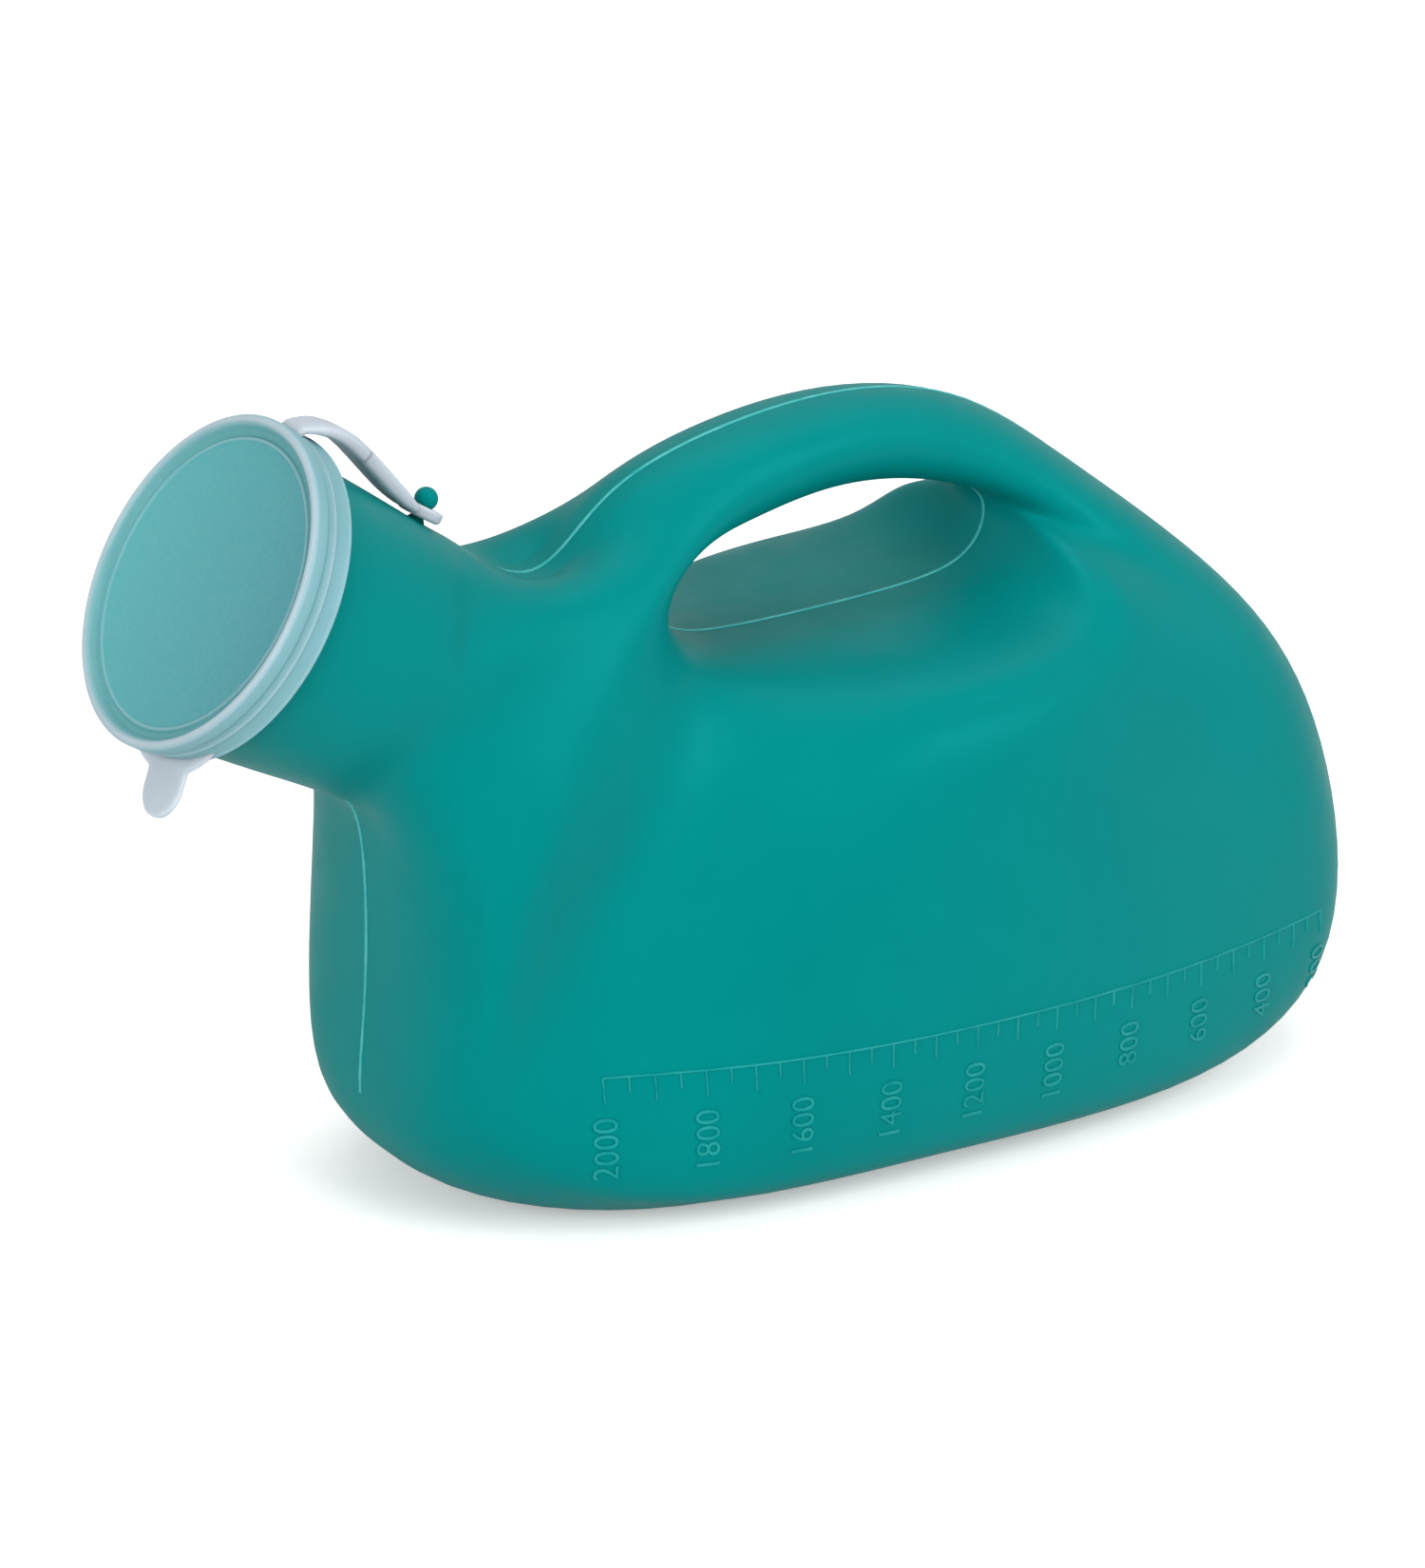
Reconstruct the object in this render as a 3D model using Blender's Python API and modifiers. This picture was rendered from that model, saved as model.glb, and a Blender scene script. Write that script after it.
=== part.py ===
"""Reusable urine bottle: a blow-moulded two-litre bottle and its tethered push-on cap.

The bottle lies on its flat side with the mouth towards -X. Its mid-plane is y = 0, its flat base
is z = 0, and the origin is under the middle of its bounding box. Sizes are in millimetres, and
MM turns them into metres where meshes are written.

The bottle's surface runs round the handle's finger gap in sections. A station describes one of
them by a point on the outer outline, a point on the gap's outline and the widths between the two.
"""

import math
from collections import namedtuple

import bmesh
import bpy
import numpy as np
from mathutils import Matrix, Vector

MM = 0.001

# Where the front wall of the tank stands along X, so that the origin is in the middle.
FRONT_WALL_X = -90.0

WALL = 2.0
ROWS = 8  # steps of a section from the outer outline to the gap's outline

# The neck's axis, from the middle of the cap's front face into the tank.
CAP_FRONT = (-36.6, 144.15)  # distance from the front wall, height
NECK_TILT = math.radians(31.4)

# Rings of the neck: distance behind the cap's front, outer radius.
MOUTH_DEPTH = 3.9
LIP_RADIUS = 32.0
NECK_RINGS = (
    (MOUTH_DEPTH, LIP_RADIUS - 0.5),
    (MOUTH_DEPTH + 0.8, LIP_RADIUS),
    (MOUTH_DEPTH + 2.8, LIP_RADIUS),
    (8.8, 30.8),
    (25.0, 29.6),
    (42.0, 28.3),
    (52.0, 27.7),
)

# The tether stud on top of the neck.
# The skin is eased in balls about these places, on both sides: place, radius, and share.
EASED_PLACES = (
    ((50.0, 24.0, 123.0), 44.0, 1.0),
    ((6.0, 24.0, 100.0), 26.0, 0.7),
    ((80.0, 36.0, 114.0), 32.0, 1.0),
)
EASING_PASSES = 11
EASED_FROM_MID_PLANE = (5.0, 14.0)

STUD_DEPTH = 40.3
STUD_FOOT_HEIGHT = 27.4  # inside the neck's wall
STUD_NECK_RADIUS = 1.4
STUD_BALL_RADIUS = 2.4
STUD_BALL_HEIGHT = 33.1

# The cap.
RIM_RADIUS = 34.2
RIM_INNER_RADIUS = 32.0
RIM_DEPTH = 3.6
RECESS = 2.2
DISC_THICKNESS = 1.3
SKIRT_RADIUS = 33.6
SKIRT_INNER_RADIUS = 32.7
SKIRT_DEPTH = 9.4

# The pull tab on the skirt's edge, turned from the lowest point towards the near side.
TAB_DEPTH = 8.4
TAB_TURN = math.radians(13.0)
TAB_LEAN = math.radians(4.0)
TAB_LENGTH = 11.1
TAB_HALF_WIDTH = 6.3
TAB_THICKNESS = 1.3
TAB_GAP = 0.6  # from the skirt to the tab's root, so that its corners clear as it bends
TAB_ROOT_RADIUS = SKIRT_RADIUS + TAB_GAP
# The shoulders beside its root run out along the skirt, nearly to where they would touch it.
SHOULDER_TOP = (6.9, 1.2)  # from the tab's middle line, out from the root
SHOULDER_SHARE = 0.7

# The tether's middle line, as distance behind the cap's front and height over the neck's axis.
# Its root is fast to the skirt, and the strap proper runs from there to the eyelet.
STRAP_PATH = (  # depth, height, thickness
    (11.2, 36.9, 2.8),
    (14.0, 37.1, 2.8),
    (17.5, 36.7, 2.9),
    (23.5, 34.9, 3.0),
    (30.0, 32.7, 3.0),
    (35.4, 31.1, 2.8),
)
STRAP_ROOT_PATH = (
    (5.0, 35.0, 1.2),
    (6.6, 35.7, 1.9),
    (8.8, 36.45, 2.6),
    (10.9, 36.85, 2.8),
)
STRAP_WIDTH = 9.0
EYELET_RADIUS = 4.6
EYELET_HOLE_RADIUS = 1.9
EYELET_LOW = 29.5
EYELET_HIGH = 31.3

# The tether bends where its top is, behind the skirt and in front of the eyelet.
CAP_HINGE = (11.05, 38.35)  # depth, height
STRAP_HINGE = (35.6, 32.6)

Station = namedtuple("Station", "outer gap outer_width gap_width outer_corner gap_corner")

# Outlines are (distance from the front wall, height); widths are half widths. A corner is the
# power of the section's rounding: 1 is an ellipse, and less is nearer to a rectangle.
STATIONS = (
    Station((107, -0.6), (105, 110.5), 63, 54, 0.365, 0.41),  # middle of the base
    Station((44, -0.6), (84, 110.8), 54, 44.5, 0.41, 0.51),  # front of the base
    Station((4.5, 13), (72, 114), 40, 33, 0.54, 0.66),  # front lower corner
    Station((0.8, 44), (65, 121), 39.5, 30, 0.5, 0.6),  # front wall
    Station((0.1, 83), (63.5, 127), 40, 27, 0.65, 0.6),  # under the neck
    Station((14, 113), (66, 131.5), 31, 25, 0.9, 0.65),  # beside the neck
    Station((38, 131.8), (70.5, 133.3), 23, 22, 1, 0.8),  # behind the neck
    Station((52, 140), (77.5, 134.7), 17, 18.5, 1, 0.95),  # foot of the handle
    Station((70, 150.5), (88.5, 135.4), 14, 15.5, 1, 1),  # rise of the handle
    Station((106, 157), (106, 137.8), 14.5, 13.5, 0.95, 1),  # top of the handle
    Station((143, 151.7), (126, 137), 14.2, 13.5, 1, 1),  # fall of the handle
    Station((176, 131), (143, 133), 21.5, 16.5, 1, 1),  # rear foot of the handle
    Station((210.3, 101.1), (151.5, 128.5), 36, 26, 0.8, 0.85),  # rear shoulder
    Station((232.3, 61), (153, 122), 48.5, 40, 0.85, 0.42),  # rear end
    Station((227, 17), (146, 114.2), 55, 49, 0.52, 0.33),  # rear lower corner
    Station((180, -0.5), (127, 111.2), 63.3, 55, 0.385, 0.35),  # rear of the base
)

# The neck grows out of the tank between these stations, over this many rows each side.
NECK_FIRST = 4
NECK_LAST = 6
NECK_ROWS = 3


def clear_scene():
    for obj in list(bpy.data.objects):
        bpy.data.objects.remove(obj, do_unlink=True)


def new_collection(name):
    collection = bpy.data.collections.new(name)
    bpy.context.scene.collection.children.link(collection)
    return collection


def plastic(name, color, roughness):
    material = bpy.data.materials.new(name)
    material.use_nodes = True
    shader = material.node_tree.nodes["Principled BSDF"]
    shader.inputs["Base Color"].default_value = (*color, 1.0)
    shader.inputs["Roughness"].default_value = roughness
    shader.inputs["Metallic"].default_value = 0.0
    return material


def from_wall(x, y, z):
    """A point given by its distance from the front wall, in millimetres, in the row frame."""
    return Vector((FRONT_WALL_X + x, y, z))


INTO_TANK = Vector((math.cos(NECK_TILT), 0.0, -math.sin(NECK_TILT)))
OVER_NECK = Vector((math.sin(NECK_TILT), 0.0, math.cos(NECK_TILT)))


def at_neck(depth, height, y=0.0):
    """A point behind the cap's front by depth and over the neck's axis by height."""
    front = from_wall(CAP_FRONT[0], y, CAP_FRONT[1])
    return front + INTO_TANK * depth + OVER_NECK * height


def section_point(station, row):
    """Point of a section, from row 0 on the outer outline to row ROWS on the gap's outline."""
    angle = math.pi * row / ROWS
    across, aside = math.cos(angle), math.sin(angle)
    corner = station.outer_corner if across > 0 else station.gap_corner
    aside_power = math.sqrt(corner) if across > 0 else corner
    share = (1.0 - math.copysign(abs(across) ** corner, across)) / 2.0
    width = station.outer_width + (station.gap_width - station.outer_width) * share
    x = station.outer[0] + (station.gap[0] - station.outer[0]) * share
    z = station.outer[1] + (station.gap[1] - station.outer[1]) * share
    return from_wall(x, -width * max(aside, 0.0) ** aside_power, z)


def ring_point(depth, radius, turn):
    """Point of a neck ring; the turn starts below the axis and goes round by the near side."""
    return at_neck(depth, -radius * math.cos(turn), -radius * math.sin(turn))


def bottle_cage():
    """The quads of the bottle's surface, which the smooth surface will run through."""
    cage = bmesh.new()
    last = 2 * ROWS
    grid = {}
    for column, station in enumerate(STATIONS):
        for row in range(last):
            signed_row = min(row, last - row)
            inside_neck = NECK_FIRST < column < NECK_LAST and signed_row < NECK_ROWS
            if inside_neck:
                continue
            point = section_point(station, signed_row)
            if row > ROWS:
                point.y = -point.y
            grid[column, row] = cage.verts.new(point)
    for column in range(len(STATIONS)):
        after = (column + 1) % len(STATIONS)
        for row in range(last):
            above = (row + 1) % last
            corners = ((column, row), (after, row), (after, above), (column, above))
            beside_mid_plane = max(min(row, last - row), min(above, last - above)) <= NECK_ROWS
            if NECK_FIRST <= column < NECK_LAST and beside_mid_plane:
                continue
            cage.faces.new([grid[corner] for corner in corners])

    near = [(NECK_FIRST, row) for row in range(NECK_ROWS + 1)]
    near += [(column, NECK_ROWS) for column in range(NECK_FIRST + 1, NECK_LAST)]
    near += [(NECK_LAST, row) for row in range(NECK_ROWS, -1, -1)]
    far = [(column, last - row) for column, row in near[-2:0:-1]]
    inner = [grid[place] for place in near + far]
    for depth, radius in reversed(NECK_RINGS):
        turns = [2.0 * math.pi * k / len(inner) for k in range(len(inner))]
        outer = [cage.verts.new(ring_point(depth, radius, turn)) for turn in turns]
        for k in range(len(inner)):
            after = (k + 1) % len(inner)
            cage.faces.new((inner[k], inner[after], outer[after], outer[k]))
        inner = outer
    bmesh.ops.recalc_face_normals(cage, faces=cage.faces)
    return cage


def smooth_position(vertex):
    """Where the Catmull-Clark surface of a quad cage passes for one of its vertices."""
    if vertex.is_boundary:
        ends = [edge.other_vert(vertex) for edge in vertex.link_edges if edge.is_boundary]
        return (ends[0].co + ends[1].co + 4.0 * vertex.co) / 6.0
    valence = len(vertex.link_edges)
    beside = sum((edge.other_vert(vertex).co for edge in vertex.link_edges), Vector())
    across = Vector()
    for loop in vertex.link_loops:
        across += loop.link_loop_next.link_loop_next.vert.co
    return (valence**2 * vertex.co + 4.0 * beside + across) / (valence * (valence + 5))


def run_surface_through(cage, passes=12):
    """Moves the cage so that its smooth surface runs through where its vertices are now."""
    targets = [vertex.co.copy() for vertex in cage.verts]
    for _ in range(passes):
        gaps = [target - smooth_position(v) for target, v in zip(targets, cage.verts)]
        for vertex, gap in zip(cage.verts, gaps):
            vertex.co += gap


def mesh_object(name, mesh, collection, material):
    obj = bpy.data.objects.new(name, mesh)
    collection.objects.link(obj)
    mesh.materials.append(material)
    return obj


def evaluated_mesh(obj):
    bpy.context.view_layer.update()
    graph = bpy.context.evaluated_depsgraph_get()
    return bpy.data.meshes.new_from_object(obj.evaluated_get(graph))


def easing_share(point):
    """How strongly the skin is eased at a point in millimetres: nothing near the mid-plane."""
    low, high = EASED_FROM_MID_PLANE
    aside = min(max((abs(point.y) - low) / (high - low), 0.0), 1.0)
    share = 0.0
    for (x, y, z), radius, most in EASED_PLACES:
        away = (Vector((point.x, abs(point.y), point.z)) - from_wall(x, y, z)).length / radius
        if away < 1.0:
            share = max(share, most * (1.0 - away**2) ** 2)
    return share * aside


def ease_folds(mesh, passes):
    """Relaxes the skin about the handle's foot, where its sections crowd together."""
    shares = [easing_share(vertex.co / MM) for vertex in mesh.vertices]
    beside = {index: [] for index, share in enumerate(shares) if share > 0.0}
    for edge in mesh.edges:
        first, second = edge.vertices
        if first in beside:
            beside[first].append(second)
        if second in beside:
            beside[second].append(first)
    places = [vertex.co.copy() for vertex in mesh.vertices]
    for _ in range(passes):
        moved = {}
        for index, others in beside.items():
            middle = sum((places[other] for other in others), Vector()) / len(others)
            moved[index] = places[index].lerp(middle, 0.5 * shares[index])
        for index, place in moved.items():
            places[index] = place
    for vertex, place in zip(mesh.vertices, places):
        vertex.co = place


def bottle_skin(levels):
    """The bottle's outer surface as a mesh in metres, open at the mouth and flat on its base."""
    cage = bottle_cage()
    run_surface_through(cage)
    bmesh.ops.scale(cage, vec=(MM, MM, MM), verts=cage.verts)
    coarse = bpy.data.meshes.new("bottle_cage")
    cage.to_mesh(coarse)
    cage.free()
    holder = bpy.data.objects.new("bottle_cage", coarse)
    bpy.context.scene.collection.objects.link(holder)
    smooth = holder.modifiers.new("smooth", "SUBSURF")
    smooth.levels = levels
    smooth.render_levels = levels
    skin = evaluated_mesh(holder)
    bpy.data.objects.remove(holder, do_unlink=True)
    ease_folds(skin, EASING_PASSES)
    for vertex in skin.vertices:
        vertex.co.z = max(vertex.co.z, 0.0)
    return skin


def turned(name, profile, collection, material, steps):
    """A closed turned body about Z from (radius, z) points, listed down its outer side."""
    mesh = bpy.data.meshes.new(name)
    points = [(radius * MM, 0.0, z * MM) for radius, z in profile]
    edges = [(k, k + 1) for k in range(len(points) - 1)]
    if profile[0][0] > 0.0 or profile[-1][0] > 0.0:
        edges.append((len(points) - 1, 0))
    mesh.from_pydata(points, edges, [])
    obj = mesh_object(name, mesh, collection, material)
    screw = obj.modifiers.new("turn", "SCREW")
    screw.steps = steps
    screw.render_steps = steps
    screw.use_merge_vertices = True
    screw.merge_threshold = 0.00001
    return obj


def neck_frame(origin):
    """A frame at a point, given in millimetres, whose Z points over the neck, X into the tank."""
    side = OVER_NECK.cross(INTO_TANK)
    frame = Matrix((INTO_TANK, side, OVER_NECK)).transposed().to_4x4()
    return Matrix.Translation(origin * MM) @ frame


def cap_frame(origin):
    """A frame at a point, given in millimetres, whose Z points out of the mouth."""
    side = OVER_NECK.cross(-INTO_TANK)
    frame = Matrix((side, OVER_NECK, -INTO_TANK))
    return Matrix.Translation(origin * MM) @ frame.transposed().to_4x4()


def hinge_at(name, origin, collection, parent=None):
    """An empty on a joint's axis, which runs along Y."""
    hinge = bpy.data.objects.new(name, None)
    hinge.empty_display_size = 0.01
    collection.objects.link(hinge)
    hinge.location = origin * MM
    if parent is not None:
        hinge.parent = parent
        hinge.matrix_parent_inverse = Matrix.Translation(-parent.location)
    return hinge


def hang_on(obj, hinge, world):
    obj.parent = hinge
    bpy.context.view_layer.update()
    obj.matrix_world = world
    bpy.context.view_layer.update()


def make_bottle(parts, cutters, material):
    bottle = mesh_object("bottle_body", bottle_skin(levels=1), parts, material)
    shell = bottle.modifiers.new("wall", "SOLIDIFY")
    shell.thickness = WALL * MM
    shell.offset = -1.0
    shell.use_even_offset = True

    ball_top = STUD_BALL_HEIGHT + STUD_BALL_RADIUS
    waist_height = STUD_BALL_HEIGHT - math.sqrt(STUD_BALL_RADIUS**2 - STUD_NECK_RADIUS**2)
    waist_angle = math.asin(STUD_NECK_RADIUS / STUD_BALL_RADIUS)
    profile = [(0.0, ball_top)]
    for k in range(1, 6):
        angle = (math.pi - waist_angle) * k / 6
        profile.append(
            (STUD_BALL_RADIUS * math.sin(angle), STUD_BALL_HEIGHT + STUD_BALL_RADIUS * math.cos(angle))
        )
    profile.append((STUD_NECK_RADIUS, waist_height))
    profile.append((STUD_NECK_RADIUS, STUD_FOOT_HEIGHT))
    profile.append((0.0, STUD_FOOT_HEIGHT))
    stud = turned("tether_stud_form", profile, cutters, material, steps=16)
    stud.matrix_world = neck_frame(at_neck(STUD_DEPTH, 0.0))
    stud.hide_render = True
    stud.display_type = "WIRE"
    join = bottle.modifiers.new("stud", "BOOLEAN")
    join.operation = "UNION"
    join.solver = "EXACT"
    join.object = stud
    bottle.data.shade_smooth()
    return bottle


def make_cap(parts, material, hinge):
    disc_back = -RECESS - DISC_THICKNESS
    recess_radius = RIM_INNER_RADIUS - 0.8
    profile = [
        (0.0, -RECESS),
        (recess_radius, -RECESS),
        (RIM_INNER_RADIUS, -0.4),
        (RIM_INNER_RADIUS + 0.6, 0.0),
        (RIM_RADIUS - 0.6, 0.0),
        (RIM_RADIUS, -0.6),
        (RIM_RADIUS, -RIM_DEPTH),
        (SKIRT_RADIUS, -RIM_DEPTH - 0.4),
        (SKIRT_RADIUS, -SKIRT_DEPTH),
        (SKIRT_INNER_RADIUS, -SKIRT_DEPTH),
        (SKIRT_INNER_RADIUS, disc_back),
        (0.0, disc_back),
    ]
    cap = turned("cap_lid", profile, parts, material, steps=64)
    cap.data.shade_smooth()
    hang_on(cap, hinge, cap_frame(at_neck(0.0, 0.0)))
    return cap


def filled_outline(name, outline, thickness, collection, material, world, hinge):
    """A flat piece from a closed outline in millimetres, of this thickness about its plane."""
    curve = bpy.data.curves.new(name, "CURVE")
    curve.dimensions = "2D"
    curve.fill_mode = "BOTH"
    curve.extrude = thickness / 2.0 * MM
    spline = curve.splines.new("POLY")
    spline.points.add(len(outline) - 1)
    for place, (x, y) in zip(spline.points, outline):
        place.co = (x * MM, y * MM, 0.0, 1.0)
    spline.use_cyclic_u = True
    curve.materials.append(material)
    obj = bpy.data.objects.new(name, curve)
    collection.objects.link(obj)
    hang_on(obj, hinge, world)
    return obj


def arc(centre, radius, first, last, steps):
    """Points of an arc, with its angles in degrees."""
    angles = [math.radians(first + (last - first) * k / steps) for k in range(steps + 1)]
    return [(centre[0] + radius * math.cos(a), centre[1] + radius * math.sin(a)) for a in angles]


def skirt_rise(x):
    """How far the arc of the tab's root has risen at x from the tab's middle line."""
    return TAB_ROOT_RADIUS - math.sqrt(TAB_ROOT_RADIUS**2 - x**2)


def shoulder_end():
    """Where a shoulder stops, on its way to where its line touches the root's arc."""
    x, out = SHOULDER_TOP
    from_axis = math.hypot(x, TAB_ROOT_RADIUS + out)
    turn = math.atan2(x, TAB_ROOT_RADIUS + out) + math.acos(TAB_ROOT_RADIUS / from_axis)
    touch_x = TAB_ROOT_RADIUS * math.sin(turn)
    touch_rise = TAB_ROOT_RADIUS * (1.0 - math.cos(turn))
    return (x + (touch_x - x) * SHOULDER_SHARE, -out + (touch_rise + out) * SHOULDER_SHARE)


def tab_outline():
    """The tab in its own plane: Y points to the cap's axis, and 0 is on the root's arc."""
    straight = TAB_LENGTH - TAB_HALF_WIDTH
    end_x, end_y = shoulder_end()
    shoulder = [(TAB_HALF_WIDTH, -SHOULDER_TOP[1] - 0.8), (SHOULDER_TOP[0], -SHOULDER_TOP[1]), (end_x, end_y)]
    outline = arc((0.0, -straight), TAB_HALF_WIDTH, 180, 360, 12) + shoulder
    outline += [(x, skirt_rise(x)) for x in np.linspace(end_x, -end_x, 15)]
    return outline + [(-x, y) for x, y in reversed(shoulder)]


def make_tab(parts, material, hinge):
    """The tab hangs from the skirt, with a round end, leaning a little under the neck."""
    origin = ring_point(TAB_DEPTH, TAB_ROOT_RADIUS, TAB_TURN)
    turn = Matrix.Rotation(TAB_TURN, 4, "Z") @ Matrix.Rotation(TAB_LEAN, 4, "X")
    world = cap_frame(origin) @ turn
    return filled_outline("pull_tab", tab_outline(), TAB_THICKNESS, parts, material, world, hinge)


def band_outline(path):
    """The closed outline of a band that follows a path of (depth, height, thickness)."""
    line = smooth_line(path, 5)
    over, under = [], []
    for k, point in enumerate(line):
        along = line[min(k + 1, len(line) - 1)] - line[max(k - 1, 0)]
        normal = Vector((-along[1], along[0])).normalized() * point[2] / 2.0
        middle = Vector(point[:2])
        over.append(tuple(middle + normal))
        under.append(tuple(middle - normal))
    return under + over[::-1]


def make_strap(name, path, parts, material, hinge):
    frame = Matrix((INTO_TANK, OVER_NECK, INTO_TANK.cross(OVER_NECK))).transposed().to_4x4()
    world = Matrix.Translation(at_neck(0.0, 0.0) * MM) @ frame
    return filled_outline(name, band_outline(path), STRAP_WIDTH, parts, material, world, hinge)


def smooth_line(points, steps):
    """Points of a Catmull-Rom curve through the given points."""
    ends = [2 * np.array(points[0]) - np.array(points[1])]
    ends += [np.array(point, float) for point in points]
    ends.append(2 * ends[-1] - ends[-2])
    line = []
    for k in range(1, len(ends) - 2):
        a, b, c, d = ends[k - 1 : k + 3]
        for step in range(steps):
            t = step / steps
            line.append(0.5 * (2 * b + (c - a) * t + (2 * a - 5 * b + 4 * c - d) * t**2
                               + (3 * b - a - 3 * c + d) * t**3))
    line.append(ends[-2])
    return line


def make_eyelet(parts, material):
    profile = [
        (EYELET_HOLE_RADIUS, EYELET_HIGH),
        (EYELET_RADIUS, EYELET_HIGH),
        (EYELET_RADIUS, EYELET_LOW),
        (EYELET_HOLE_RADIUS, EYELET_LOW),
    ]
    eyelet = turned("tether_eyelet", profile, parts, material, steps=32)
    eyelet.data.shade_smooth()
    eyelet.matrix_world = neck_frame(at_neck(STUD_DEPTH, 0.0))
    return eyelet


def build():
    clear_scene()
    parts = new_collection("urine_bottle")
    cutters = new_collection("cutters")
    cutters.hide_render = True
    teal = plastic("teal_polyethylene", (0.0, 0.27, 0.25), 0.42)
    milky = plastic("milky_polyethylene", (0.62, 0.68, 0.74), 0.38)

    strap_hinge = hinge_at("strap_hinge", at_neck(*STRAP_HINGE), parts)
    cap_hinge = hinge_at("cap_hinge", at_neck(*CAP_HINGE), parts, strap_hinge)
    tab_root = ring_point(TAB_DEPTH, TAB_ROOT_RADIUS, TAB_TURN)
    tab_hinge = hinge_at("tab_hinge", tab_root, parts, cap_hinge)

    make_bottle(parts, cutters, teal)
    make_eyelet(parts, milky)
    make_strap("tether_strap", STRAP_PATH, parts, milky, strap_hinge)
    make_strap("tether_root", STRAP_ROOT_PATH, parts, milky, cap_hinge)
    make_cap(parts, milky, cap_hinge)
    make_tab(parts, milky, tab_hinge)


build()
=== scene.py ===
"""Looks for the urine bottle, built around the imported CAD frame.

Sizes are in millimetres, and MM turns them into metres. The axes are the CAD model's: +X runs
along the tank away from the mouth, y = 0 is the mid-plane, z = 0 is the flat base, and the side
with the scale faces -Y.
"""

import math
from collections import namedtuple

import bmesh
import bpy
import numpy as np
from mathutils import Matrix, Vector
from mathutils.bvhtree import BVHTree


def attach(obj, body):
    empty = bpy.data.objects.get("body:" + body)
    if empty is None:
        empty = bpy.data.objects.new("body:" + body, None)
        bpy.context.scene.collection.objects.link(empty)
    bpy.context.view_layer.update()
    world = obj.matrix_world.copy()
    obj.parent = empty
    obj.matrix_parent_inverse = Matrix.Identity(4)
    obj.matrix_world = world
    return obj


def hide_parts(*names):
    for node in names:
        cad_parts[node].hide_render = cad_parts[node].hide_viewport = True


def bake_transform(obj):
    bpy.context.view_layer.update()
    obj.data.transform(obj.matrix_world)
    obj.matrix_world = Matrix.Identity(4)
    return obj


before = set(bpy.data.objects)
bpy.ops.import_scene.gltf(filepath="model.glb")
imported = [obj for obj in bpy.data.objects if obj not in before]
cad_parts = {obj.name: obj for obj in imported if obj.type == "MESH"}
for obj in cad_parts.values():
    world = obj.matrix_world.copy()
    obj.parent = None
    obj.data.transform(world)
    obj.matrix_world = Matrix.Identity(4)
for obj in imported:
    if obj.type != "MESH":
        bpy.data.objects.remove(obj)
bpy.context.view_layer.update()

MM = 0.001

# ---------------------------------------------------------------- the bottle's own sizes

FRONT_WALL_X = -90.0
WALL = 2.0
ROWS = 8  # of the cage, from a section's outer side to its gap side
SKIN_LEVELS = 3

CAP_FRONT = (-36.6, 144.15)
NECK_TILT = math.radians(31.4)
MOUTH_DEPTH = 3.9
LIP_RADIUS = 32.0
NECK_RINGS = (
    (MOUTH_DEPTH, LIP_RADIUS - 0.5),
    (MOUTH_DEPTH + 0.8, LIP_RADIUS),
    (MOUTH_DEPTH + 2.8, LIP_RADIUS),
    (8.8, 30.8),
    (25.0, 29.6),
    (42.0, 28.3),
    (52.0, 27.7),
)

Station = namedtuple("Station", "outer gap outer_width gap_width outer_corner gap_corner")

# Outlines are (distance from the front wall, height); widths are half widths.
STATIONS = (
    Station((107, -0.6), (105, 110.5), 63, 54, 0.365, 0.41),  # middle of the base
    Station((44, -0.6), (84, 110.8), 54, 44.5, 0.41, 0.51),  # front of the base
    Station((4.5, 13), (72, 114), 40, 33, 0.54, 0.66),  # front lower corner
    Station((0.8, 44), (65, 121), 39.5, 30, 0.5, 0.6),  # front wall
    Station((0.1, 83), (63.5, 127), 40, 27, 0.65, 0.6),  # under the neck
    Station((14, 113), (66, 131.5), 31, 25, 0.9, 0.65),  # beside the neck
    Station((38, 131.8), (70.5, 133.3), 23, 22, 1, 0.8),  # behind the neck
    Station((52, 140), (77.5, 134.7), 17, 18.5, 1, 0.95),  # foot of the handle
    Station((70, 150.5), (88.5, 135.4), 14, 15.5, 1, 1),  # rise of the handle
    Station((106, 157), (106, 137.8), 14.5, 13.5, 0.95, 1),  # top of the handle
    Station((143, 151.7), (126, 137), 14.2, 13.5, 1, 1),  # fall of the handle
    Station((176, 131), (143, 133), 21.5, 16.5, 1, 1),  # rear foot of the handle
    Station((210.3, 101.1), (151.5, 128.5), 36, 26, 0.8, 0.85),  # rear shoulder
    Station((232.3, 61), (153, 122), 48.5, 40, 0.85, 0.42),  # rear end
    Station((227, 17), (146, 114.2), 55, 49, 0.52, 0.33),  # rear lower corner
    Station((180, -0.5), (127, 111.2), 63.3, 55, 0.385, 0.35),  # rear of the base
)
NECK_FIRST = 4
NECK_LAST = 6
NECK_ROWS = 3

# The skin is eased in balls about these places, on both sides: place, radius, and share.
EASED_PLACES = (
    ((50.0, 24.0, 123.0), 44.0, 1.0),
    ((6.0, 24.0, 100.0), 26.0, 0.7),
    ((80.0, 36.0, 114.0), 32.0, 1.0),
)
EASING_PASSES = 170
EASED_FROM_MID_PLANE = (5.0, 14.0)  # none nearer than the first, all of it past the second

STUD_DEPTH = 40.3
STUD_FOOT_HEIGHT = 27.4
STUD_NECK_RADIUS = 1.4
STUD_BALL_RADIUS = 2.4
STUD_BALL_HEIGHT = 33.1
STUD_BALL_STEPS = 14

# ---------------------------------------------------------------- parting line and scale

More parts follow.
